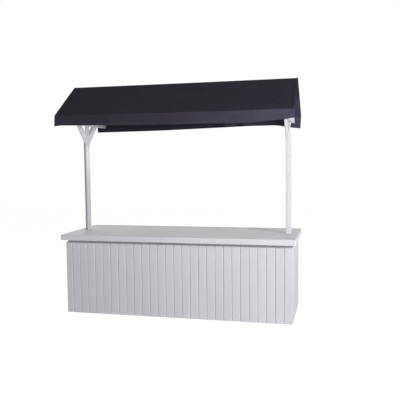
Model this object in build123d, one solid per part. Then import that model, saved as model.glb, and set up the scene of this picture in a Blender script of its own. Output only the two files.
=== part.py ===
from build123d import *
import math
import os

# Wooden market stall: a clad counter, two braced end frames and a fabric canopy
# X runs along the counter, Y to the back and Z up, with the origin on the floor under the middle

# Counter
counter_length = 2400.0
counter_depth = 800.0
counter_height = 846.0
board_thickness = 16.0
board_cover = 86.3
groove_width = 9.0
groove_depth = 5.0
cladding_corner_radius = 4.0
shadow_gap = 28.0

# Worktop, a board with a deep lipping round its edge
worktop_end_overhang = 34.0
worktop_side_overhang = 58.0
worktop_board_thickness = 22.0
lipping_height = 60.0
lipping_width = 25.0
worktop_corner_radius = 14.0
worktop_top_radius = 8.0
worktop_bottom_radius = 3.0
mortise_clearance = 1.0

# Counter frame behind the cladding
rail_thickness = 32.0
rail_height = 70.0
stud_width = 60.0
bays = 3

# End frames: a board and a batten make each post
post_board_thickness = 18.0
post_board_width = 75.0
batten_thickness = 32.0
batten_width = 45.0
brace_width = 72.0
brace_rise = 214.0
back_brace_thickness = 28.0
tie_beam_height = 72.0
tie_beam_corner_radius = 14.0
rafter_depth = 50.0
timber_chamfer = 2.0

# Rails along the roof
ridge_rail_width = 36.0
ridge_rail_height = 60.0
ridge_rail_projection = 40.0
eave_rail_width = 48.0
eave_rail_height = 26.0
eave_rail_edge_radius = 5.0

# Canopy cloth
cloth_end_overhang = 76.0
canopy_depth = 1044.0
eave_height = 2084.0
roof_rise = 352.0
valance_drop = 108.0
cloth_thickness = 2.5
cloth_fold_radius = 9.0
cloth_clearance = 0.3

# Faces that several pieces share
half_length = counter_length / 2
half_depth = counter_depth / 2
inner_x = half_length - board_thickness
inner_y = half_depth - board_thickness
rail_x = inner_x - rail_thickness
rail_y = inner_y - rail_thickness
worktop_underside = counter_height - lipping_height
frame_top = counter_height - worktop_board_thickness
cladding_top = worktop_underside - shadow_gap
stud_bottom = rail_height
stud_top = frame_top - rail_height
post_outer_x = rail_x
post_seam_x = post_outer_x - batten_thickness
post_inner_x = post_seam_x - post_board_thickness
post_half_width = post_board_width / 2
batten_back_y = post_half_width
batten_front_y = batten_back_y - batten_width
canopy_half_length = post_outer_x + cloth_end_overhang
canopy_half_depth = canopy_depth / 2
eave_rail_y = canopy_half_depth - cloth_thickness - cloth_clearance
eave_rail_inner_y = eave_rail_y - eave_rail_width
tie_beam_top = eave_height
tie_beam_bottom = tie_beam_top - tie_beam_height
brace_foot = tie_beam_bottom - brace_rise
brace_slant = brace_width * math.sqrt(2)
batten_top = brace_foot + brace_slant
ridge_height = eave_height + roof_rise
slope_angle = math.atan2(roof_rise, canopy_half_depth)
slope_rise = math.tan(slope_angle)


def block(low_x, high_x, low_y, high_y, low_z, high_z):
    """A square-cut piece of timber between two opposite corners."""
    size = (high_x - low_x, high_y - low_y, high_z - low_z)
    middle = ((low_x + high_x) / 2, (low_y + high_y) / 2, (low_z + high_z) / 2)
    return Pos(*middle) * Box(*size)


def cross_section(points, low_x, high_x):
    """An outline in the plane across the stall, carried along X."""
    face = Plane.YZ * make_face(Polyline(*points, close=True))
    return Pos(low_x, 0, 0) * extrude(face, high_x - low_x)


def eased(piece, direction):
    """Takes the sharp corners off the long edges of a planed timber."""
    return chamfer(piece.edges().filter_by(direction), timber_chamfer)


def side_span(side, near, far):
    """The low and high X of a piece that lies between two distances from the middle."""
    return tuple(sorted((side * near, side * far)))


def groove_places(width):
    """Where the joints between boards fall, counted from the panel's right edge."""
    count = int((width - groove_width) // board_cover)
    return [board_cover * (index + 1) for index in range(count)]


def clad_panel(width):
    """Tongued boards side by side: the outer face looks to -Y and has a V at each joint."""
    outline = [(width / 2, board_thickness), (width / 2, 0)]
    for place in groove_places(width):
        x = width / 2 - place
        outline.append((x + groove_width / 2, 0))
        outline.append((x, groove_depth))
        outline.append((x - groove_width / 2, 0))
    outline.append((-width / 2, 0))
    outline.append((-width / 2, board_thickness))
    return extrude(make_face(Polyline(*outline, close=True)), cladding_top)


def make_cladding():
    """The long panels lap over the edges of the end panels, with eased corners."""
    long_panel = clad_panel(counter_length)
    outer_edges = long_panel.edges().filter_by(Axis.Z).group_by(Axis.Y)[0].sort_by(Axis.X)
    long_panel = fillet((outer_edges[0], outer_edges[-1]), cladding_corner_radius)
    end_panel = clad_panel(2 * inner_y)
    return {
        "front_cladding": Pos(0, -half_depth, 0) * long_panel,
        "back_cladding": Pos(0, half_depth, 0) * Rot(0, 0, 180) * long_panel,
        "right_end_cladding": Pos(half_length, 0, 0) * Rot(0, 0, 90) * end_panel,
        "left_end_cladding": Pos(-half_length, 0, 0) * Rot(0, 0, -90) * end_panel,
    }


def make_worktop():
    """A board with a lipping that hangs below it, eased edges and two holes for the posts."""
    half_x = half_length + worktop_end_overhang
    half_y = half_depth + worktop_side_overhang
    slab = block(-half_x, half_x, -half_y, half_y, worktop_underside, counter_height)
    slab = fillet(slab.edges().filter_by(Axis.Z), worktop_corner_radius)
    slab = fillet(slab.faces().sort_by(Axis.Z)[-1].edges(), worktop_top_radius)
    slab = fillet(slab.faces().sort_by(Axis.Z)[0].edges(), worktop_bottom_radius)
    pocket_x = half_x - lipping_width
    pocket_y = half_y - lipping_width
    slab -= block(-pocket_x, pocket_x, -pocket_y, pocket_y, worktop_underside, frame_top)
    for side in (-1, 1):
        for near, far, front, back in (
            (post_inner_x, post_seam_x, -post_half_width, post_half_width),
            (post_seam_x, post_outer_x, batten_front_y, batten_back_y),
        ):
            low, high = side_span(side, near - mortise_clearance, far + mortise_clearance)
            front -= mortise_clearance
            back += mortise_clearance
            slab -= block(low, high, front, back, worktop_underside, counter_height)
    return {"worktop": slab}


def make_counter_frame():
    """Rails round the floor and under the worktop, with studs between them."""
    pieces = {}
    levels = (("bottom", 0, rail_height), ("top", stud_top, frame_top))
    for level, low, high in levels:
        pieces[f"front_{level}_rail"] = block(-inner_x, inner_x, -inner_y, -rail_y, low, high)
        pieces[f"back_{level}_rail"] = block(-inner_x, inner_x, rail_y, inner_y, low, high)
        pieces[f"right_{level}_rail"] = block(rail_x, inner_x, -rail_y, rail_y, low, high)
        pieces[f"left_{level}_rail"] = block(-inner_x, -rail_x, -rail_y, rail_y, low, high)
    half_stud = stud_width / 2
    reach = inner_x - half_stud
    for row, low_y, high_y in (("front", -inner_y, -rail_y), ("back", rail_y, inner_y)):
        for index in range(bays + 1):
            x = reach * (2 * index / bays - 1)
            stud = block(x - half_stud, x + half_stud, low_y, high_y, stud_bottom, stud_top)
            pieces[f"{row}_stud_{index + 1}"] = stud
    half_rail = rail_thickness / 2
    pieces["cross_rail"] = block(-half_rail, half_rail, -rail_y, rail_y, stud_top, frame_top)
    return pieces


def cloth_inside(y):
    """Height of the timber's upper limit under the sloping cloth, at a distance from the ridge."""
    below = (cloth_thickness + cloth_clearance) / math.cos(slope_angle)
    return ridge_height - below - abs(y) * slope_rise


eave_rail_top = cloth_inside(eave_rail_y)


def make_post(side, name):
    """A broad board on the inside and a batten on the outside, from the floor up."""
    low, high = side_span(side, post_inner_x, post_seam_x)
    board = block(low, high, -post_half_width, post_half_width, 0, tie_beam_bottom)
    low, high = side_span(side, post_seam_x, post_outer_x)
    batten = block(low, high, batten_front_y, batten_back_y, 0, batten_top)
    return {f"{name}_post": eased(board, Axis.Z), f"{name}_post_batten": eased(batten, Axis.Z)}


def make_braces(side, name):
    """Two braces at 45 degrees: the front one as thick as the board, the back one thicker."""
    pieces = {}
    back_outer_x = post_inner_x + back_brace_thickness
    for row, turn, outer_x in (("front", -1, post_seam_x), ("back", 1, back_outer_x)):
        low, high = side_span(side, post_inner_x, outer_x)
        outline = [
            (turn * post_half_width, brace_foot),
            (turn * (post_half_width + brace_rise), tie_beam_bottom),
            (turn * (post_half_width + brace_rise - brace_slant), tie_beam_bottom),
            (turn * post_half_width, brace_foot + brace_slant),
        ]
        brace = cross_section(outline, low, high)
        pieces[f"{name}_{row}_brace"] = eased(brace, Axis((0, 0, 0), (0, turn, 1)))
    return pieces


def make_tie_beam(side, name):
    """A level beam across the head of the post, housed at its ends for the eave rails."""
    low, high = side_span(side, post_inner_x, post_outer_x)
    beam = block(low, high, -eave_rail_y, eave_rail_y, tie_beam_bottom, tie_beam_top)
    lower = beam.edges().filter_by(Axis.X).sort_by(Axis.Z)[:2]
    beam = fillet(lower, tie_beam_corner_radius)
    sides = beam.faces().filter_by(Axis.X)
    beam = chamfer(sides.edges(), timber_chamfer)
    seat = eave_rail_top - eave_rail_height
    for front, back in ((-eave_rail_y, -eave_rail_inner_y), (eave_rail_inner_y, eave_rail_y)):
        beam -= block(low, high, front, back, seat, tie_beam_top)
    return {f"{name}_tie_beam": beam}


def make_gable(side, name):
    """A short king post and two rafters that stand on the tie beam."""
    low, high = side_span(side, post_inner_x, post_seam_x)
    half_ridge = ridge_rail_width / 2
    ridge_rail_bottom = cloth_inside(0) - ridge_rail_height
    king_post = block(low, high, -half_ridge, half_ridge, tie_beam_top, ridge_rail_bottom)
    pieces = {f"{name}_king_post": eased(king_post, Axis.Z)}
    depth = rafter_depth / math.cos(slope_angle)
    foot_bottom = (cloth_inside(0) - depth - tie_beam_top) / slope_rise
    for row, turn in (("front", -1), ("back", 1)):
        outline = [
            (turn * half_ridge, cloth_inside(half_ridge)),
            (turn * eave_rail_inner_y, cloth_inside(eave_rail_inner_y)),
            (turn * eave_rail_inner_y, tie_beam_top),
            (turn * foot_bottom, tie_beam_top),
            (turn * half_ridge, cloth_inside(half_ridge) - depth),
        ]
        rafter = cross_section(outline, low, high)
        pieces[f"{name}_{row}_rafter"] = eased(rafter, Axis((0, 0, 0), (0, turn, -slope_rise)))
    return pieces


def make_roof_rails():
    """A ridge rail bevelled to both slopes, and an eave rail at each end of the tie beams."""
    half_ridge = ridge_rail_width / 2
    ridge_end = post_outer_x + ridge_rail_projection
    ridge = [
        (0, cloth_inside(0)),
        (half_ridge, cloth_inside(half_ridge)),
        (half_ridge, cloth_inside(0) - ridge_rail_height),
        (-half_ridge, cloth_inside(0) - ridge_rail_height),
        (-half_ridge, cloth_inside(half_ridge)),
    ]
    ridge_rail = cross_section(ridge, -ridge_end, ridge_end)
    apex = ridge_rail.edges().filter_by(Axis.X).sort_by(Axis.Z)[-1]
    bottom = eave_rail_top - eave_rail_height
    rail = block(-post_outer_x, post_outer_x, eave_rail_inner_y, eave_rail_y, bottom, eave_rail_top)
    outer_edges = rail.edges().filter_by(Axis.X).group_by(Axis.Y)[-1]
    rail = fillet(outer_edges, eave_rail_edge_radius)
    return {
        "ridge_rail": fillet(apex, cloth_fold_radius),
        "back_eave_rail": rail,
        "front_eave_rail": Rot(0, 0, 180) * rail,
    }


def make_canopy():
    """One strip of cloth: valance, slope, ridge, slope, valance."""
    middle = cloth_thickness / 2
    half = canopy_half_depth - middle
    eave = eave_height - middle * math.tan(math.pi / 4 - slope_angle / 2)
    ridge = eave + half * slope_rise
    hem = eave_height - valance_drop
    path = FilletPolyline(
        (-half, hem), (-half, eave), (0, ridge), (half, eave), (half, hem), radius=cloth_fold_radius
    )
    strip = trace(path, line_width=cloth_thickness)
    cloth = extrude(Plane.YZ * strip, 2 * canopy_half_length)
    return {"canopy": Pos(-canopy_half_length, 0, 0) * cloth}


pieces = {}
pieces.update(make_cladding())
pieces.update(make_worktop())
pieces.update(make_counter_frame())
for side, name in ((-1, "left"), (1, "right")):
    pieces.update(make_post(side, name))
    pieces.update(make_braces(side, name))
    pieces.update(make_tie_beam(side, name))
    pieces.update(make_gable(side, name))
pieces.update(make_roof_rails())
pieces.update(make_canopy())

os.makedirs("parts", exist_ok=True)
for name, shape in pieces.items():
    export_step(shape, f"parts/{name}.step")
    print(name, round(shape.volume / 1000), "cm3")
print(len(pieces), "pieces")
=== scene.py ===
# %% [markdown]
# # A wooden market stall
#
# The stall is a counter clad in grey tongued boards, with a painted worktop, two posts
# and a sheet of charcoal canvas over a light roof frame. The measured timber comes from
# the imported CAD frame. This lesson adds what the eye looks for: separate boards with
# soft shoulders, a real sheet of canvas, paint, bare timber, light and a camera.

# %% Load the frame
import math

import bpy
import numpy as np
from mathutils import Matrix, Vector


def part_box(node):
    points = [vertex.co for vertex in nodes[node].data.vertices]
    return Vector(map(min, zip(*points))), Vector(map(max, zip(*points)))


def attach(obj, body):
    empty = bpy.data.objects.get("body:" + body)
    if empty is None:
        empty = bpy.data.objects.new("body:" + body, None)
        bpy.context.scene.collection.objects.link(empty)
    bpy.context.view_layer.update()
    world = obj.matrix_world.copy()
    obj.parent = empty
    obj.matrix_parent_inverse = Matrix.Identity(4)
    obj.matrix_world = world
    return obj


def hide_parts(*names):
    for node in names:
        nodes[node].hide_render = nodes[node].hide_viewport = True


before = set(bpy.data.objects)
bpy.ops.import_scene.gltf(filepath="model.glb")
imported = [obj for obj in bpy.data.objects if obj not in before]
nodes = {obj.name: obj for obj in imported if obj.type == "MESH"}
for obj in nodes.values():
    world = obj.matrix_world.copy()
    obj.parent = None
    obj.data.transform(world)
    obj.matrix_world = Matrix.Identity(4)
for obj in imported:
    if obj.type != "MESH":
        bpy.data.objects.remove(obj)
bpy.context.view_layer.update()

# %% [markdown]
# ## The camera
#
# The photographer stood in front of the stall's right half, at head height, with a
# normal lens, and turned a little to the left. The place, the angles and the lens come
# from a least-squares fit to 25 points of the stall in the photograph.

# %% Camera
CAMERA_PLACE = Vector((1.6038, -5.8276, 1.6184))
TURN_LEFT = math.radians(13.708)
TILT_UP = math.radians(-4.0974)
ROLL = math.radians(-0.6346)
LENS_MM = 50.33
SENSOR_MM = 36.0

forward = Vector((-math.sin(TURN_LEFT) * math.cos(TILT_UP),
                  math.cos(TURN_LEFT) * math.cos(TILT_UP),
                  math.sin(TILT_UP)))
level_right = Vector((math.cos(TURN_LEFT), math.sin(TURN_LEFT), 0))
level_up = level_right.cross(forward)
right = math.cos(ROLL) * level_right + math.sin(ROLL) * level_up
up = math.cos(ROLL) * level_up - math.sin(ROLL) * level_right

camera_data = bpy.data.cameras.new("camera")
camera_data.lens = LENS_MM
camera_data.sensor_width = SENSOR_MM
camera = bpy.data.objects.new("camera", camera_data)
camera_turn = Matrix((right, up, -forward)).transposed().to_4x4()
camera.matrix_world = Matrix.Translation(CAMERA_PLACE) @ camera_turn
bpy.context.collection.objects.link(camera)
bpy.context.scene.camera = camera
bpy.context.scene.view_settings.view_transform = "Standard"
print("the camera stands", round(CAMERA_PLACE.xy.length, 2), "m from the stall's middle")

# %% [markdown]
# ## Shader maths as Python
#
# A painted board needs a dozen small sums on its coordinates. Written as nodes and
# links they are hard to read, so one class wraps a socket, and `wear * 0.5 + grain`
# adds its own Math nodes.

# %% Sockets that add, multiply and compare
# A Mix node has a set of sockets for each kind of value: these are its colour ones.
MIX_FACTOR, MIX_A, MIX_B, MIX_RESULT = 0, 6, 7, 2


class Socket:
    """An output socket of a node tree, on which sums are written as plain Python."""

    def __init__(self, tree, output=None):
        self.tree = tree
        self.output = output

    def node(self, kind, settings, inputs, output=0):
        """Adds a node of a kind: first its settings, then the values or links of its sockets."""
        made = self.tree.nodes.new(kind)
        for name, value in settings.items():
            setattr(made, name, value)
        for name, value in inputs.items():
            if isinstance(value, Socket):
                self.tree.links.new(value.output, made.inputs[name])
            else:
                made.inputs[name].default_value = value
        return Socket(self.tree, made.outputs[output] if made.outputs else None)

    def math(self, operation, first, second=0.0):
        """One Math node on two values."""
        return self.node("ShaderNodeMath", {"operation": operation}, {0: first, 1: second})

    def __add__(self, other):
        return self.math("ADD", self, other)

    def __radd__(self, other):
        return self.math("ADD", other, self)

    def __sub__(self, other):
        return self.math("SUBTRACT", self, other)

    def __rsub__(self, other):
        return self.math("SUBTRACT", other, self)

    def __mul__(self, other):
        return self.math("MULTIPLY", self, other)

    def __rmul__(self, other):
        return self.math("MULTIPLY", other, self)

    def size(self):
        """The value without its sign."""
        return self.math("ABSOLUTE", self)

    def larger(self, other):
        return self.math("MAXIMUM", self, other)

    def smaller(self, other):
        return self.math("MINIMUM", self, other)

    def ramp(self, low, high, from_value=0.0, to_value=1.0):
        """Moves smoothly from one value to another while this one goes from low to high."""
        inputs = {"Value": self, "From Min": low, "From Max": high,
                  "To Min": from_value, "To Max": to_value}
        return self.node("ShaderNodeMapRange", {"interpolation_type": "SMOOTHSTEP"}, inputs)

    def mix(self, colour_a, colour_b):
        """Goes from one colour to another as this value goes from 0 to 1."""
        inputs = {MIX_FACTOR: self, MIX_A: colour_a, MIX_B: colour_b}
        return self.node("ShaderNodeMix", {"data_type": "RGBA"}, inputs, MIX_RESULT)

    def axes(self):
        """The three numbers of a place."""
        split = self.node("ShaderNodeSeparateXYZ", {}, {"Vector": self}).output.node
        return [Socket(self.tree, split.outputs[axis]) for axis in "XYZ"]

    def stretched(self, factors):
        """The same place with each axis multiplied, so that a pattern on it is drawn out."""
        return self.node("ShaderNodeMapping", {}, {"Vector": self, "Scale": factors})

    def noise(self, scale, detail=3.0, roughness=0.5):
        """Soft cloudy noise from 0 to 1 around one half."""
        inputs = {"Vector": self, "Scale": scale, "Detail": detail, "Roughness": roughness}
        return self.node("ShaderNodeTexNoise", {}, inputs)

    def bump(self, height_m, strength=1.0, under=None):
        """Turns a height pattern from 0 to 1, that many metres deep, into a shading direction."""
        inputs = {"Height": self, "Distance": height_m, "Strength": strength}
        if under:
            inputs["Normal"] = under
        return self.node("ShaderNodeBump", {}, inputs)


print("sums on sockets are ready")


# %% Colours and materials
def srgb(red, green, blue):
    """A colour written as on screen, 0 to 255, changed to the linear light that shaders use."""
    channels = [value / 255 for value in (red, green, blue)]
    linear = [c / 12.92 if c <= 0.04045 else ((c + 0.055) / 1.055) ** 2.4 for c in channels]
    return (*linear, 1.0)


def new_material(name):
    """An empty material and its tree, ready for nodes."""
    material = bpy.data.materials.new(name)
    material.use_nodes = True
    material.node_tree.nodes.clear()
    return material, Socket(material.node_tree)


def close_material(tree, surface):
    """Sends the finished surface to the material's output."""
    tree.node("ShaderNodeOutputMaterial", {}, {"Surface": surface})


def places(tree):
    """The point on the object, in metres in the stall's own frame."""
    return tree.node("ShaderNodeTexCoord", {}, {}, "Object")


def attribute(tree, name):
    """A number that a mesh holds for each of its points."""
    return tree.node("ShaderNodeAttribute", {"attribute_name": name}, {}, "Fac")


def clothe(piece, material):
    """Gives a piece one material."""
    piece.data.materials.clear()
    piece.data.materials.append(material)


print("middle grey on screen is", round(srgb(128, 128, 128)[0], 3), "in linear light")

# %% [markdown]
# ## The studio
#
# The photograph is a cut-out on pure white. The room and the floor are therefore white
# to the camera and to glossy reflections, while the light that the room sheds on the
# stall is set apart from that white. The floor also mixes in a little ordinary matt
# white, so that it still keeps the stall's soft shadow.

# %% Rays that meet pure white
WHITE = (1.0, 1.0, 1.0, 1.0)


def meets_white(tree):
    """1 for a ray from the camera, off gloss or through glass, and 0 for ordinary light."""
    rays = tree.node("ShaderNodeLightPath", {}, {}).output.node
    kinds = ("Camera", "Glossy", "Transmission")
    from_camera, off_gloss, through_glass = [
        Socket(tree.tree, rays.outputs[f"Is {kind} Ray"]) for kind in kinds]
    return from_camera.larger(off_gloss).larger(through_glass)


print("the camera, gloss and glass will all meet pure white")

# %% Room
# Strengths, where 1 is white, and the height of a direction that counts as overhead
BACKGROUND = 1.0
HORIZON_LIGHT = 0.26
ZENITH_LIGHT = 0.12
ZENITH_HEIGHT = 0.9

world = bpy.data.worlds.new("studio")
bpy.context.scene.world = world
world.use_nodes = True
world.node_tree.nodes.clear()
world_tree = Socket(world.node_tree)
direction = world_tree.node("ShaderNodeTexCoord", {}, {}, "Generated")
height = direction.axes()[2]
room_light = height.ramp(0.0, ZENITH_HEIGHT, HORIZON_LIGHT, ZENITH_LIGHT)
soft_light = world_tree.node("ShaderNodeBackground", {}, {"Color": WHITE, "Strength": room_light})
pure_white = world_tree.node("ShaderNodeBackground", {}, {"Color": WHITE, "Strength": BACKGROUND})
seen_share = meets_white(world_tree)
shown = world_tree.node("ShaderNodeMixShader", {}, {0: seen_share, 1: soft_light, 2: pure_white})
world_tree.node("ShaderNodeOutputWorld", {}, {"Surface": shown})
print("the room sheds", HORIZON_LIGHT, "at the horizon and", ZENITH_LIGHT, "overhead")

# %% Floor
FLOOR_GLOW_SHARE = 0.92
FLOOR_BACKGROUND = 1.07
FLOOR_WHITE = (0.8, 0.8, 0.8, 1.0)
FLOOR_REACH = 14.0
FLOOR_DROP = 0.0005

floor_material, tree = new_material("studio_floor")
matt_white = tree.node("ShaderNodeBsdfDiffuse", {}, {"Color": FLOOR_WHITE})
glow = tree.node("ShaderNodeEmission", {}, {"Color": WHITE, "Strength": FLOOR_BACKGROUND})
glow_share = meets_white(tree) * FLOOR_GLOW_SHARE
close_material(tree, tree.node("ShaderNodeMixShader", {}, {0: glow_share, 1: matt_white, 2: glow}))

corner_signs = [(-1, -1), (1, -1), (1, 1), (-1, 1)]
floor_corners = [(x * FLOOR_REACH, y * FLOOR_REACH, -FLOOR_DROP) for x, y in corner_signs]
floor_mesh = bpy.data.meshes.new("floor")
floor_mesh.from_pydata(floor_corners, [], [(0, 1, 2, 3)])
floor = bpy.data.objects.new("floor", floor_mesh)
bpy.context.collection.objects.link(floor)
clothe(floor, floor_material)
print("the floor lies at", -FLOOR_DROP, "m")

# %% [markdown]
# ## The light
#
# The thin dark line that the right post throws over the worktop runs to the back left.
# So two key lamps stand to the front right, about 50 degrees round from straight ahead,
# and are small, which keeps the line thin: a high one for the boards and the worktop,
# and a low one that also reaches under the canopy. A broad lamp fills the front, another
# at the back left lights the far side, and the white room does the rest. The left braces
# would still be too dark, so a spot lamp with a narrow cone, a snoot, is aimed at them.
# The strengths started from a fit of trial pictures to the photograph's levels, and were then changed,
# until most parts came near the photograph's own levels.

# %% Lamps
LAMPS = {
    "key": {"place": (5.14, -3.76, 1.9), "aim": (0.3, 0.0, 1.2), "side": 0.3, "watts": 120},
    "high_key": {"place": (6.2, -4.8, 3.6), "aim": (0.3, 0.0, 1.0), "side": 0.3, "watts": 370},
    "front": {"place": (0.3, -6.0, 1.0), "aim": (0.0, 0.0, 1.0), "side": 2.0, "watts": 48},
    "back": {"place": (-6.0, 4.6, 2.4), "aim": (0.0, 0.0, 1.0), "side": 1.5, "watts": 220},
}
SNOOT = {"place": (4.2, -1.9, 1.45), "aim": (-1.12, 0.0, 1.85), "radius": 0.1, "cone": 10.0, "watts": 560}


def hang(lamp_data, place, aim):
    """Puts a lamp in the room, turned so that its own -Z axis points at its aim."""
    lamp = bpy.data.objects.new(lamp_data.name, lamp_data)
    lamp.location = place
    lamp.rotation_euler = (Vector(aim) - Vector(place)).to_track_quat("-Z", "Y").to_euler()
    bpy.context.collection.objects.link(lamp)


def add_soft_lamp(name, place, aim, side, watts):
    """A square lamp of a given side, which throws soft-edged shadows."""
    lamp_data = bpy.data.lights.new(name, "AREA")
    lamp_data.shape = "SQUARE"
    lamp_data.size = side
    lamp_data.energy = watts
    hang(lamp_data, place, aim)


def add_snoot(place, aim, radius, cone, watts):
    """A spot lamp with a cone of that many degrees, which fades all the way from its middle."""
    lamp_data = bpy.data.lights.new("snoot", "SPOT")
    lamp_data.spot_size = math.radians(cone)
    lamp_data.spot_blend = 1.0
    lamp_data.shadow_soft_size = radius
    lamp_data.energy = watts
    hang(lamp_data, place, aim)


for lamp_name, lamp in LAMPS.items():
    add_soft_lamp(lamp_name, **lamp)
add_snoot(**SNOOT)
print("lamps:", ", ".join(LAMPS), "and a snoot")

# %% [markdown]
# ## Surfaces from grids
#
# Every new piece is a grid of points worked out at once with numpy: rows along one
# parameter, columns along the other. One helper turns such a grid into faces, and can
# join the last column to the first. Another makes the mesh and closes its ends.

# %% Grid to mesh
def grid_faces(rows, columns, closed):
    """Four corners of each face of a grid, counted row by row, wrapped round if it is closed."""
    row = np.arange(rows - 1)[:, None]
    column = np.arange(columns if closed else columns - 1)[None, :]
    after = (column + 1) % columns
    first = row * columns
    second = first + columns
    return np.stack([first + column, first + after, second + after, second + column], -1).reshape(-1, 4)


def mesh_from(name, points, faces, ends=()):
    """A mesh object from an array of points, its four-cornered faces and any end faces."""
    mesh = bpy.data.meshes.new(name)
    mesh.from_pydata(points.reshape(-1, 3).tolist(), [], faces.tolist() + [list(end) for end in ends])
    mesh.validate()
    piece = bpy.data.objects.new(name, mesh)
    bpy.context.collection.objects.link(piece)
    return piece


def add_column(mesh, name, values):
    """A number on each point of a mesh, for its material to read."""
    column = mesh.attributes.new(name, "FLOAT", "POINT")
    column.data.foreach_set("value", np.asarray(values, np.float32))


print("a grid of 3 by 4 points has", len(grid_faces(3, 4, False)), "faces")

# %% [markdown]
# ## The cladding
#
# Tongue-and-groove boards show a V at each joint. In the photograph every V is a dark
# line with a pale line beside it: one flank looks away from the key lamps and the other
# towards them. A flat panel can't do that, so each board is its own solid with rounded
# shoulders and a thin dark joint at the bottom of the V. The V is a little wider and
# deeper here than in the plain solids, so that its lines are as strong as they are in
# the photograph.

# %% Board sizes
MM = 0.001
BOARD_COVER = 86.3 * MM
GROOVE_WIDTH = 12.0 * MM
GROOVE_DEPTH = 6.5 * MM
PANEL_CORNER = 4.0 * MM
SHOULDER_ROUND = 1.8 * MM
JOINT_GAP = 0.6 * MM
END_ROUND = 1.0 * MM
CORNER_POINTS = 6
SHOULDER_POINTS = 4

front_low, front_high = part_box("front_cladding")
end_low, end_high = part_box("right_end_cladding")
half_length = front_high.x
half_depth = -front_low.y
board_thickness = front_high.y - front_low.y
cladding_top = front_high.z
print("boards are", round(board_thickness / MM), "mm thick and", round(cladding_top / MM), "mm tall")


# %% Outline of a board
def seams(low, high):
    """Where the joints between boards fall: full boards from the right end, the rest at the left."""
    count = int((high - low - GROOVE_WIDTH) // BOARD_COVER)
    return [high - BOARD_COVER * (index + 1) for index in range(count)]


def round_corner(before, corner, after, radius, count):
    """Points of a quadratic curve that cuts a corner off, starting and ending a radius away."""
    before, corner, after = np.array(before), np.array(corner), np.array(after)
    start = corner + (before - corner) / np.linalg.norm(before - corner) * radius
    end = corner + (after - corner) / np.linalg.norm(after - corner) * radius
    t = np.linspace(0, 1, count)[:, None]
    return (1 - t) ** 2 * start + 2 * t * (1 - t) * corner + t ** 2 * end


def board_outline(left, right, left_is_end, right_is_end):
    """A board's cross-section: across the panel, and depth behind the panel's face.

    It runs from the back left corner over the face to the back right one. A joint drops
    from the shoulder to the foot of its V, and the end of a panel has a rounded corner."""
    back = board_thickness
    left_foot, right_foot = left + JOINT_GAP / 2, right - JOINT_GAP / 2
    left_shoulder, right_shoulder = left + GROOVE_WIDTH / 2, right - GROOVE_WIDTH / 2
    if left_is_end:
        corner = round_corner((left, back), (left, 0), (right, 0), PANEL_CORNER, CORNER_POINTS)
        outline = [(left, back), *corner]
    else:
        shoulder = round_corner((left_foot, GROOVE_DEPTH), (left_shoulder, 0), (right, 0),
                                SHOULDER_ROUND, SHOULDER_POINTS)
        outline = [(left_foot, back), (left_foot, GROOVE_DEPTH), *shoulder]
    if right_is_end:
        corner = round_corner((left, 0), (right, 0), (right, back), PANEL_CORNER, CORNER_POINTS)
        outline.extend([*corner, (right, back)])
    else:
        shoulder = round_corner((left, 0), (right_shoulder, 0), (right_foot, GROOVE_DEPTH),
                                SHOULDER_ROUND, SHOULDER_POINTS)
        outline.extend([*shoulder, (right_foot, GROOVE_DEPTH), (right_foot, back)])
    return np.array(outline)


print("a middle board's outline has", len(board_outline(0.0, BOARD_COVER, False, False)), "points")

# %% [markdown]
# Each outline is carried up through five levels, and the lowest and highest ring are
# drawn in a little, which takes the sharpness off the board's ends. Every board also
# gets a number of its own, its tone, so that the paint can differ from board to board.

# %% Boards of one side
BOARD_SEED = 7
random = np.random.default_rng(BOARD_SEED)
board_levels = np.array([0, END_ROUND, cladding_top / 2, cladding_top - END_ROUND, cladding_top])
board_inset = np.array([END_ROUND / 2, 0, 0, 0, END_ROUND / 2])


def board_rings(outline, middle):
    """A board's outline at each level, shrunk towards the board's middle by the level's inset."""
    shrink = 1 - board_inset[:, None, None] / (BOARD_COVER / 2)
    rings = middle + (outline[None] - middle) * shrink
    heights = np.broadcast_to(board_levels[:, None, None], (*rings.shape[:2], 1))
    return np.concatenate([rings, heights], -1)


def panel_boards(name, low, high, rounded_ends, to_world):
    """All boards of one side as one mesh: a closed grid for each board, with both ends filled."""
    edges = [high, *seams(low, high), low]
    points, faces, ends, tones = [], [], [], []
    first = 0
    for right_edge, left_edge in zip(edges, edges[1:]):
        left_is_end = rounded_ends and left_edge == low
        right_is_end = rounded_ends and right_edge == high
        outline = board_outline(left_edge, right_edge, left_is_end, right_is_end)
        middle = np.array([(left_edge + right_edge) / 2, board_thickness / 2])
        points.append(to_world(board_rings(outline, middle).reshape(-1, 3)))
        around = len(outline)
        board_points = around * len(board_levels)
        faces.append(grid_faces(len(board_levels), around, True)[:, ::-1] + first)
        ends.append(range(first, first + around))
        ends.append(range(first + board_points - 1, first + board_points - around - 1, -1))
        tones.append(np.full(board_points, random.uniform()))
        first += board_points
    piece = mesh_from(name, np.concatenate(points), np.concatenate(faces), ends)
    add_column(piece.data, "board_tone", np.concatenate(tones))
    return piece


print("rings at", [round(float(level) / MM) for level in board_levels], "mm above the floor")


# %% Lay the boards on all four sides
# A board's points are numbered across the panel, behind its face and up. Each side of
# the counter lays those three numbers along its own directions.
def facing_front(p):
    return np.stack([p[:, 0], -half_depth + p[:, 1], p[:, 2]], -1)


def facing_back(p):
    return np.stack([-p[:, 0], half_depth - p[:, 1], p[:, 2]], -1)


def facing_right(p):
    return np.stack([half_length - p[:, 1], p[:, 0], p[:, 2]], -1)


def facing_left(p):
    return np.stack([-half_length + p[:, 1], -p[:, 0], p[:, 2]], -1)


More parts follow.
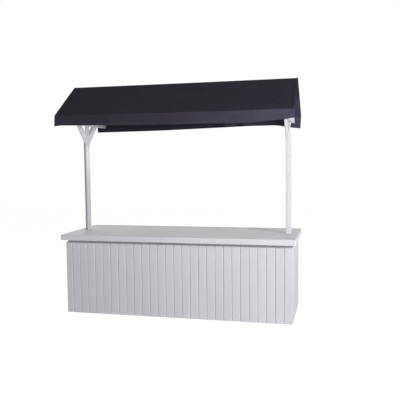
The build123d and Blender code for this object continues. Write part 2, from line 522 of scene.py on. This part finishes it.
cladding = {
    "front": panel_boards("front_boards", -half_length, half_length, True, facing_front),
    "back": panel_boards("back_boards", -half_length, half_length, True, facing_back),
    "right_end": panel_boards("right_end_boards", end_low.y, end_high.y, False, facing_right),
    "left_end": panel_boards("left_end_boards", end_low.y, end_high.y, False, facing_left),
}
for side, piece in cladding.items():
    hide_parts(f"{side}_cladding")
    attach(piece, "root")
    print(side, "has", len(piece.data.polygons), "faces")

# %% [markdown]
# ## Paint
#
# The stall is brushed with a pale, slightly lilac grey. Up close such paint has fine
# brush lines along the timber, boards that differ a little in tone, and a coat that is
# uneven and nowhere quite equally glossy. One function makes every paint from a colour,
# the direction of the timber and a roughness.
#
# The braces, tie beams and rafters get a paler copy of the posts' paint, which is painted light that
# lifts them against the canopy's shade. The rails in the shadow gap under the worktop get a deeper copy
# of the board paint, which is painted shade in the gap, and the eave rails are dark, because no pale rail
# shows under the hem.

# %% Paint colours
PAINT = srgb(206, 203, 210)
FRAME_PAINT = srgb(208, 205, 211)
# A paler copy of the posts' paint for the braces: painted light against the canopy's shade
LIT_BRACE_PAINT = srgb(218, 215, 221)
# A deeper copy of the board paint for the rails in the shadow gap: painted shade
SHADED_RECESS_PAINT = srgb(196, 193, 200)
DARK_PAINT = srgb(62, 59, 66)
print("the boards' paint is", [round(channel, 2) for channel in PAINT[:3]], "in linear light")

# %% Brushed paint
# Patterns are counted in a metre, and shares say how much each one adds to the shade
BRUSH_LINES_PER_M = 420.0
DRAWN_OUT = 0.035
BRUSH_DEPTH = 0.4 * MM
BRUSH_STRENGTH = 0.35
UNEVEN_PER_M = 2.3
UNEVEN_SPREAD = (0.3, 0.7)
UNEVEN_DEPTH = 0.3
BRUSH_SHARE = 0.12
UNEVEN_SHARE = 0.35
TONE_SHARE = 0.12
MIDDLE_SHADE = 0.42
DEEPER = 0.86
SMOOTHER, ROUGHER = -0.04, 0.05
COAT_ROUGHNESS = 0.36


def along(axis):
    """Stretch factors that draw a pattern out along one axis."""
    return tuple(DRAWN_OUT if index == axis else 1.0 for index in range(3))


def painted(name, colour, grain_axis, roughness, board_tone=False, coat=0.0, gloss=0.35):
    """Brushed paint that goes from its colour to a deeper one.

    The shade between them is a middle value plus shares of the brush lines, of slow
    clouds and of the board's own tone. The clouds also change the roughness."""
    material, tree = new_material(name)
    place = places(tree)
    lines = place.stretched(along(grain_axis)).noise(BRUSH_LINES_PER_M, detail=2.0)
    cloud = place.noise(UNEVEN_PER_M, detail=4.0)
    shade = (lines - 0.5) * BRUSH_SHARE + (cloud - 0.5) * UNEVEN_SHARE + MIDDLE_SHADE
    if board_tone:
        shade = shade + (attribute(tree, "board_tone") - 0.5) * TONE_SHARE
    deeper = (*(channel * DEEPER for channel in colour[:3]), 1.0)
    surface = tree.node("ShaderNodeBsdfPrincipled", {}, {
        "Base Color": shade.ramp(0.0, 1.0).mix(colour, deeper),
        "Roughness": cloud.ramp(*UNEVEN_SPREAD, roughness + SMOOTHER, roughness + ROUGHER),
        "Normal": (lines + cloud * UNEVEN_DEPTH).bump(BRUSH_DEPTH, BRUSH_STRENGTH),
        "Coat Weight": coat, "Coat Roughness": COAT_ROUGHNESS, "Specular IOR Level": gloss})
    close_material(tree, surface)
    return material


print("brush lines lie", round(1000 / BRUSH_LINES_PER_M, 1), "mm apart")

# %% Paint the stall
X_AXIS, Y_AXIS, Z_AXIS = 0, 1, 2

board_paint = painted("board_paint", PAINT, Z_AXIS, roughness=0.62, board_tone=True, gloss=0.05)
for piece in cladding.values():
    clothe(piece, board_paint)

paint_by_ending = {
    "worktop": painted("worktop_paint", PAINT, X_AXIS, roughness=0.52, coat=0.6, gloss=0.5),
    ("_post", "_post_batten"): painted("upright_paint", FRAME_PAINT, Z_AXIS, roughness=0.45),
    "ridge_rail": painted("rail_paint", FRAME_PAINT, X_AXIS, roughness=0.45),
    # The braces, tie beams and rafters take the paler copy: painted light
    ("_brace", "_tie_beam", "_rafter"): painted("lit_cross_paint", LIT_BRACE_PAINT, Y_AXIS, roughness=0.45),
    # The rails in the shadow gap take the deeper copy: painted shade
    "_top_rail": painted("shaded_recess_paint", SHADED_RECESS_PAINT, X_AXIS, roughness=0.7, gloss=0.1),
    "_eave_rail": painted("dark_paint", DARK_PAINT, X_AXIS, roughness=0.6, gloss=0.1),
}
for ending, paint in paint_by_ending.items():
    painted_nodes = [node for node_name, node in nodes.items() if node_name.endswith(ending)]
    for node in painted_nodes:
        clothe(node, paint)
    print(paint.name, "is on", len(painted_nodes), "pieces")

# %% [markdown]
# ## Bare timber
#
# The counter's inner frame is never seen from outside. It is plain planed softwood:
# long growth lines along each piece, warm and matt.

# %% Planed softwood
PALE_WOOD = srgb(214, 184, 142)
DARK_WOOD = srgb(176, 134, 90)
GROWTH_LINES_PER_M = 60.0
GROWTH_SPREAD = (0.35, 0.65)
GROWTH_DEPTH = 0.4 * MM
GROWTH_STRENGTH = 0.3
WOOD_ROUGHNESS = 0.75


def softwood(name, grain_axis):
    """Growth lines: noise drawn out along the grain, turned into pale and dark bands."""
    material, tree = new_material(name)
    place = places(tree).stretched(along(grain_axis))
    lines = place.noise(GROWTH_LINES_PER_M, roughness=0.6).ramp(*GROWTH_SPREAD)
    surface = tree.node("ShaderNodeBsdfPrincipled", {}, {
        "Base Color": lines.mix(PALE_WOOD, DARK_WOOD), "Roughness": WOOD_ROUGHNESS,
        "Normal": lines.bump(GROWTH_DEPTH, GROWTH_STRENGTH)})
    close_material(tree, surface)
    return material


timber = [softwood(f"softwood_{axis}", index) for index, axis in enumerate("xyz")]
for node_name, node in nodes.items():
    if "_stud_" in node_name:
        clothe(node, timber[Z_AXIS])
    elif node_name in ("cross_rail", "left_bottom_rail", "right_bottom_rail"):
        clothe(node, timber[Y_AXIS])
    elif node_name.endswith("_bottom_rail"):
        clothe(node, timber[X_AXIS])
print("timber is bare inside the counter")

# %% [markdown]
# ## The canvas
#
# The roof is one strip of canvas: a valance, a slope, the ridge, a slope and a second
# valance. It is stretched over three rails. Its hems wave, its back corners droop, and
# the ends don't run quite square. So the cross-section is a path of straight runs and
# rounded folds, and the places of its corners change along the stall. A cloth
# simulation would lose those hems, so the surface is worked out directly.

# %% Sizes of the sheet
CLOTH_THICKNESS = 1.4 * MM
HEM_THICKNESS = 2.6 * MM
FOLD_RADIUS = 9.0 * MM
RIDGE_RADIUS = 1.2 * FOLD_RADIUS
FLAT_LENGTH = 2.456
VALANCE_DROP = 0.108
BACK_FOLD_OUT = 4 * MM
BACK_HEM_OUT = 14 * MM
RIDGE_FORWARD = 6 * MM
RIDGE_UP = 4 * MM

canopy_low, canopy_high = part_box("canopy")
front_fold_y = canopy_low.y
back_fold_y = canopy_high.y + BACK_FOLD_OUT
back_hem_y = canopy_high.y + BACK_HEM_OUT
ridge_y = -RIDGE_FORWARD
eave_level = canopy_low.z + VALANCE_DROP
ridge_level = canopy_high.z + RIDGE_UP
print("the canvas folds at", round(eave_level, 3), "m and", round(ridge_level, 3), "m")

# %% Hems and folds along the stall
# Pairs of a place along X and a height, or a lift. For the hems, points in the photograph were put
# through the fitted camera onto the cloth's planes and rounded, and the front hem was then moved by a few
# millimetres, to agree with the photograph in renders. The lifts were chosen, and the fold's is flatter
# than the photograph's.
FOLD_LIFT = [(-1.24, 0.003), (-0.7, 0.0005), (0.0, 0.0), (0.7, 0.0005), (1.24, 0.003)]
RIDGE_LIFT = [(-1.25, 0.002), (0.0, 0.0005), (1.25, 0.0015)]
FRONT_HEM = [(-1.235, 1.981), (-1.15, 1.987), (-1.04, 1.985), (-0.72, 1.980), (-0.4, 1.973),
             (0.3, 1.9695), (0.9, 1.972), (1.0, 1.980), (1.11, 1.989), (1.235, 2.0025)]
BACK_HEM = [(-1.22, 1.963), (-0.4, 1.970), (0.3, 1.987), (0.8, 1.997),
            (0.99, 1.992), (1.07, 1.977), (1.22, 1.957)]

# Where the cloth ends at the front hem, front fold, ridge, back fold and back hem, mostly found as the
# hems were, with some moved by a few millimetres
LEFT_END = [-1.231, -1.228, -1.244, -1.225, -1.219]
RIGHT_END = [1.2235, 1.231, 1.222, 1.2225, 1.2125]


def flowing(points, x):
    """A smooth line through chosen points: a cubic between each two, with slopes from the neighbours."""
    px, py = np.array(points, float).T
    slope = np.gradient(py, px)
    index = np.clip(np.searchsorted(px, x) - 1, 0, len(px) - 2)
    width = px[index + 1] - px[index]
    t = (x - px[index]) / width
    rise = 3 * t ** 2 - 2 * t ** 3
    lean = slope[index] * (t ** 3 - 2 * t ** 2 + t) + slope[index + 1] * (t ** 3 - t ** 2)
    return py[index] * (1 - rise) + py[index + 1] * rise + width * lean


print("the front hem hangs at", round(float(flowing(FRONT_HEM, np.array(0.0))), 3), "m in the middle")

# %% [markdown]
# A hem is the cloth's edge turned in and stitched down, so the cloth is twice as thick
# there and ends in a small step. The grid gets two close lines at that step, and the
# thickness modifier reads a vertex group that says where the cloth is double.

# %% Grid lines of the sheet
# The valance's length here is rounded, which is near enough to place its hem's lines
HEM_WIDTH = 24 * MM
STEP_WIDTH = 1.2 * MM
VALANCE_LENGTH = 0.1
COLUMNS = 320
VALANCE_ROWS = 16
SLOPE_ROWS = 44
CURVE_ROWS = 5


def with_hem_lines(count, length, at_start, at_end):
    """Even steps from 0 to 1 along a length, with two extra steps at each hem's inner edge."""
    lines = list(np.linspace(0, 1, count))
    for hem, from_end in ((at_start, False), (at_end, True)):
        if hem:
            pair = np.array([HEM_WIDTH, HEM_WIDTH + STEP_WIDTH]) / length
            lines.extend(1 - pair if from_end else pair)
    return np.unique(np.round(lines, 6))


def toward(start, end):
    """The direction from one row of points to another, one metre long."""
    step = end - start
    return step / np.linalg.norm(step, axis=-1, keepdims=True)


def folded_path(corners, radii, runs):
    """Straight runs between corners, joined by quadratic curves that start a radius before each fold.

    corners has the shape (corner, column, 2), so each column of the sheet has its own path."""
    rows = []
    start = corners[0]
    for index, run in enumerate(runs):
        here = corners[index + 1]
        is_fold = index + 1 < len(corners) - 1
        stop = here + toward(here, corners[index]) * radii[index] if is_fold else here
        rows.append(start + (stop - start) * run[:, None, None])
        if is_fold:
            leave = here + toward(here, corners[index + 2]) * radii[index]
            t = np.linspace(0, 1, CURVE_ROWS + 2)[1:-1, None, None]
            rows.append((1 - t) ** 2 * stop + 2 * t * (1 - t) * here + t ** 2 * leave)
            start = leave
    return np.concatenate(rows)


print("a slope has", SLOPE_ROWS, "rows, and each fold", CURVE_ROWS, "more")

# %% Cross-sections along the stall
across_share = with_hem_lines(COLUMNS, FLAT_LENGTH, True, True)
x_level = (across_share - 0.5) * FLAT_LENGTH
level = np.ones_like(x_level)
fold_z = eave_level + flowing(FOLD_LIFT, x_level)
ridge_z = ridge_level + flowing(RIDGE_LIFT, x_level)
corner_lines = np.array([
    (front_fold_y * level, flowing(FRONT_HEM, x_level)),
    (front_fold_y * level, fold_z),
    (ridge_y * level, ridge_z),
    (back_fold_y * level, fold_z),
    (back_hem_y * level, flowing(BACK_HEM, x_level))]).transpose(0, 2, 1)
slope_run = np.linspace(0, 1, SLOPE_ROWS)
runs = [with_hem_lines(VALANCE_ROWS, VALANCE_LENGTH, True, False), slope_run,
        slope_run, with_hem_lines(VALANCE_ROWS, VALANCE_LENGTH, False, True)]
profile = folded_path(corner_lines, [FOLD_RADIUS, RIDGE_RADIUS, FOLD_RADIUS], runs)
steps = np.linalg.norm(np.diff(profile, axis=0), axis=-1)
travel = np.concatenate([np.zeros((1, len(x_level))), np.cumsum(steps, 0)])
strip_length = float(travel[-1].mean())
print("from hem to hem the strip measures", round(strip_length, 3), "m")

# %% Places on the sheet
# How far along the strip its front hem, folds, ridge and back hem lie
STATION_SHARES = np.array([0, 0.0735, 0.5, 0.9265, 1])
FULL_WAVE_DROP = 0.11

stations = strip_length * STATION_SHARES
row_travel = travel.mean(1)
left_x = np.interp(row_travel, stations, LEFT_END)[:, None]
right_x = np.interp(row_travel, stations, RIGHT_END)[:, None]
x = left_x + (right_x - left_x) * across_share[None]
y, z = profile[..., 0].copy(), profile[..., 1].copy()
side = np.sign(y - ridge_y)
on_valance = np.abs(y) > abs(front_fold_y) - 1 * MM
up_slope = np.clip((z - fold_z) / (ridge_z - fold_z), 0, 1) * ~on_valance
down_valance = np.clip((fold_z - z) / FULL_WAVE_DROP, 0, 1)
print(int(on_valance.any(1).sum()), "of", len(profile), "rows lie on the valances")

# %% [markdown]
# Now the life in the cloth. The slopes hang a few millimetres between ridge and eave.
# From each corner of the roof, where the cloth is pulled hardest, a fan of low folds
# runs up the slope. The valances swing in long soft waves that grow towards the hem,
# and small pinches gather the cloth at the right end of the folds. Creases and fans are
# pushed outwards only, because the rails are right under the cloth.

# %% Sag and creases of the slopes
SLOPE_SAG = 5 * MM
SAG_REACH = 1.1
SAG_SHARPNESS = 6
CREASE_HEIGHT = 1.3 * MM
CREASE_PACE, CREASE_LEAN, CREASE_START = 6.1, 3.0, 1.0

between_rafters = np.clip(1 - (x / SAG_REACH) ** SAG_SHARPNESS, 0, 1)
sag = SLOPE_SAG * np.sin(np.pi * up_slope) * between_rafters
crease_wave = 0.5 + 0.5 * np.sin(x * CREASE_PACE + CREASE_LEAN * up_slope + CREASE_START)
creases = CREASE_HEIGHT * crease_wave * np.sin(np.pi * up_slope) ** 2
print("the deepest sag is", round(float(sag.max()) / MM, 1), "mm")

# %% Fans of folds at the corners
FAN_HEIGHT = 3.2 * MM
FAN_REACH = 0.34
FAN_START = 0.05
FAN_RISE = 14
SLOPE_LENGTH = 0.63
FAN_CORNER_X = 1.20
FRONT, BACK = -1, 1

# For each corner: along X, which slope, how many folds go round it, and where they begin
FANS = [(FAN_CORNER_X, FRONT, 15.0, 0.4), (-FAN_CORNER_X, FRONT, 12.0, 2.0),
        (FAN_CORNER_X, BACK, 10.5, 1.2), (-FAN_CORNER_X, BACK, 15.0, 2.6)]


def corner_fan(corner_x, corner_side, folds, phase):
    """Low folds that fan out from a roof corner: a cosine of the angle round it, which dies
    away with the distance from it."""
    along_x = (x - corner_x) * -np.sign(corner_x)
    up = up_slope * SLOPE_LENGTH
    reach = np.hypot(along_x, up)
    angle = np.arctan2(up, along_x + 1e-6)
    ridge_like = 0.5 + 0.5 * np.cos(folds * angle + phase)
    fade = np.exp(-(reach / FAN_REACH) ** 2) * np.clip(reach / FAN_START, 0, 1)
    fade *= np.clip(up_slope * FAN_RISE, 0, 1)
    return FAN_HEIGHT * ridge_like ** 2 * fade * (side == corner_side)


fans = sum(corner_fan(*fan) for fan in FANS)
print("the highest fold of the fans is", round(float(fans.max()) / MM, 1), "mm")

# %% Waves of the valances
WAVE_HEIGHT = 2.2 * MM
WAVE_OUT = 2.5 * MM
WAVE_GROWTH = 1.3

# Each wave's share of the height, its pace along X and its start
WAVES = [(1.0, 9.0, 0.7), (0.6, 21.0, 2.0), (0.4, 47.0, 0.0)]
PINCH_HEIGHT = 1.6 * MM
PINCH_PACE = 95.0
PINCH_FROM, PINCH_OVER = 1.02, 0.16
PINCH_FADE = 1.3

waves = sum(share * np.sin(pace * x + start) for share, pace, start in WAVES)
swing = WAVE_HEIGHT * waves + WAVE_OUT
pinch = PINCH_HEIGHT * np.cos(PINCH_PACE * x) ** 4 * np.clip((x - PINCH_FROM) / PINCH_OVER, 0, 1)
pinch *= np.clip(1 - down_valance * PINCH_FADE, 0, 1) * (down_valance > 0)
print("the valances swing by up to", round(float(swing.max()) / MM, 1), "mm")

# %% Push the cloth out
pitch = math.atan2(ridge_level - eave_level, back_fold_y)
outward_y, outward_z = math.sin(pitch), math.cos(pitch)
lift = creases + fans - sag
y = y + side * (lift * outward_y + swing * down_valance ** WAVE_GROWTH + pinch)
z = z + lift * outward_z
print("the slopes rise at", round(math.degrees(pitch), 1), "degrees")

# %% Canvas mesh
VALANCE_EDGE = 0.02

canvas_grid = np.stack([x, y, z], -1)
canvas = mesh_from("canopy_cloth", canvas_grid, grid_faces(len(profile), len(x_level), False)[:, ::-1])
canvas_mesh = canvas.data
canvas_mesh.polygons.foreach_set("use_smooth", np.ones(len(canvas_mesh.polygons), bool))
# Marks the front valance, on which the material paints a pale sheen
add_column(canvas_mesh, "front_valance", ((side < 0) & (down_valance > VALANCE_EDGE)).ravel())

cut_u = np.broadcast_to(across_share[None] * FLAT_LENGTH, travel.shape)
cut_v = travel
corner_point = np.empty(len(canvas_mesh.loops), np.int32)
canvas_mesh.loops.foreach_get("vertex_index", corner_point)
cut_places = np.stack([cut_u.ravel(), cut_v.ravel()], -1)[corner_point]
cut_map = canvas_mesh.uv_layers.new(name="cut")
cut_map.data.foreach_set("uv", cut_places.ravel().astype(np.float32))
print("the sheet has", len(canvas_mesh.polygons), "faces")

# %% Double cloth at the hems
from_side = np.minimum(cut_u, FLAT_LENGTH - cut_u)
from_hem = np.minimum(cut_v, travel[-1] - cut_v)
is_double = (np.minimum(from_side, from_hem) < HEM_WIDTH + STEP_WIDTH / 2).ravel()
double = canvas.vertex_groups.new(name="double")
double.add(np.flatnonzero(is_double).tolist(), 1.0, "REPLACE")
double.add(np.flatnonzero(~is_double).tolist(), CLOTH_THICKNESS / HEM_THICKNESS, "REPLACE")

shell = canvas.modifiers.new("thickness", "SOLIDIFY")
shell.thickness = HEM_THICKNESS
shell.offset = -1.0
shell.vertex_group = "double"
thicknesses = [round(thickness / MM, 1) for thickness in (CLOTH_THICKNESS, HEM_THICKNESS)]
print("the cloth and its hems are", thicknesses, "mm thick")

# %% [markdown]
# ## Canvas as a material
#
# Up close the canvas is a plain weave of charcoal yarn with a hint of purple. Yarns differ in thickness,
# which shows as fine slubs along both directions. The folds are rubbed a little paler, and two rows of
# stitches hold each hem. A faint pale sheen is painted into the colour of the front valance's right half
# and of the right end of the roof's back half. All of it follows the cut of the cloth, so it reads the
# map of the flat sheet, in metres.

# %% Weave
YARN = 0.9 * MM
CROSSING_SHARE, CHECKER_SHARE = 0.6, 0.4
SLUBS_ALONG, SLUBS_ACROSS = 40.0, 900.0
CLOUDS_PER_M = 3.0
RUBS_PER_M = 35.0
TURN = 2 * math.pi


def stripes(value, spacing):
    """A sine from 0 to 1 that repeats every spacing."""
    return value.math("SINE", value * (TURN / spacing)) * 0.5 + 0.5


canvas_material, tree = new_material("charcoal_canvas")
cut = tree.node("ShaderNodeUVMap", {"uv_map": "cut"}, {})
u, v, _ = cut.axes()
warp, weft = stripes(u, YARN), stripes(v, YARN)
checker = stripes(u, 2 * YARN) * stripes(v, 2 * YARN)
weave = warp * weft * CROSSING_SHARE + checker * CHECKER_SHARE
slub_u = cut.stretched((SLUBS_ALONG, SLUBS_ACROSS, 1.0)).noise(1.0, detail=2.0)
slub_v = cut.stretched((SLUBS_ACROSS, SLUBS_ALONG, 1.0)).noise(1.0, detail=2.0)
cloud = cut.noise(CLOUDS_PER_M, detail=4.0, roughness=0.6)
rub_noise = cut.noise(RUBS_PER_M, roughness=0.6)
print("the weave has", round(1 / YARN), "yarns in a metre")

# %% Rubbed folds and edges
# Metres from a fold or an edge over which the rubbing dies away
RUB_HALF_WIDTH = (0.003, 0.014)
EDGE_RUB = 0.005
RUB_SPREAD = (0.35, 0.7)
FOLD_RUB_SHARE = 0.35

fold_rub = None
for fold_place in stations[1:-1]:
    near = (v - float(fold_place)).size().ramp(*RUB_HALF_WIDTH, 1.0, 0.0)
    fold_rub = near if fold_rub is None else fold_rub.larger(near)
edge_v = v.smaller(strip_length - v)
edge_u = u.smaller(FLAT_LENGTH - u)
edge_rub = edge_v.smaller(edge_u).ramp(0.0, EDGE_RUB, 1.0, 0.0)
rub = (fold_rub * FOLD_RUB_SHARE).larger(edge_rub) * rub_noise.ramp(*RUB_SPREAD)
print("the cloth is rubbed at", len(stations) - 2, "folds and along its edge")

# %% Stitches
STITCH = 5.0 * MM
STITCH_ROWS = (HEM_WIDTH - 3 * MM, HEM_WIDTH - 9 * MM)
THREAD_HALF_WIDTH = (0.0003, 0.0009)
BEAT = (0.25, 0.4)

dash = None
for line, along_line in ((edge_v, u), (edge_u, v)):
    beat = stripes(along_line, STITCH).ramp(*BEAT)
    for row_place in STITCH_ROWS:
        row = (line - row_place).size().ramp(*THREAD_HALF_WIDTH, 1.0, 0.0) * beat
        dash = row if dash is None else dash.larger(row)
print("stitches repeat every", round(STITCH / MM, 1), "mm in", len(STITCH_ROWS), "rows")

# %% Canvas colours
CANVAS = srgb(58, 53, 64)
CANVAS_PALE = srgb(82, 78, 90)
CANVAS_DEEP = srgb(43, 39, 48)
# A paler canvas colour for the painted sheen
CANVAS_SHEEN = srgb(76, 73, 89)
THREAD = srgb(76, 72, 82)
CLOUD_SHARE, SLUB_SHARE, WEAVE_SHARE = 0.7, 0.5, 0.35
MIDDLE_WEAVE = 0.3
MIDDLE_CLOTH = 0.35

# Places in metres along and across the cut, between which the painted sheen comes in
SHEEN_VALANCE = (1.1, 2.5)
SHEEN_CORNER_U = (2.3, 2.4)
SHEEN_CORNER_V = (1.0, 1.1)
SHEEN_SHARE = 0.85
RUB_SHARE = 0.5

shade = (cloud - 0.5) * CLOUD_SHARE + (slub_u - 0.5) * SLUB_SHARE + (slub_v - 0.5) * SLUB_SHARE
shade = shade + (weave - MIDDLE_WEAVE) * WEAVE_SHARE + MIDDLE_CLOTH
deepening = shade.ramp(0.0, 1.0)
# Painted sheen: a paler colour on the front valance's right half and on the right end of the back half
valance_sheen = attribute(tree, "front_valance") * u.ramp(*SHEEN_VALANCE)
corner_sheen = u.ramp(*SHEEN_CORNER_U) * v.ramp(*SHEEN_CORNER_V)
painted_sheen = valance_sheen.larger(corner_sheen) * SHEEN_SHARE
cloth_colour = painted_sheen.mix(deepening.mix(CANVAS, CANVAS_DEEP), deepening.mix(CANVAS_SHEEN, CANVAS))
cloth_colour = (rub * RUB_SHARE).mix(cloth_colour, CANVAS_PALE)
cloth_colour = dash.mix(cloth_colour, THREAD)
# The fading printed here is the painted sheen coming in along the cut
print("the front valance fades from", SHEEN_VALANCE[0], "to", SHEEN_VALANCE[1], "m along the cut")

# %% Canvas surface
YARN_DEPTH, YARN_STRENGTH = 0.25 * MM, 0.5
SLUB_DEPTH_SHARE = 0.5
STITCH_DEPTH, STITCH_STRENGTH = 0.6 * MM, 0.8
CANVAS_ROUGHNESS = 0.85
CANVAS_GLOSS = 0.03

yarn_bump = (weave + (slub_u + slub_v) * SLUB_DEPTH_SHARE).bump(YARN_DEPTH, YARN_STRENGTH)
stitch_bump = dash.bump(STITCH_DEPTH, STITCH_STRENGTH, under=yarn_bump)
surface = tree.node("ShaderNodeBsdfPrincipled", {}, {
    "Base Color": cloth_colour, "Roughness": CANVAS_ROUGHNESS,
    "Specular IOR Level": CANVAS_GLOSS, "Normal": stitch_bump})
close_material(tree, surface)
clothe(canvas, canvas_material)

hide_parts("canopy")
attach(canvas, "root")
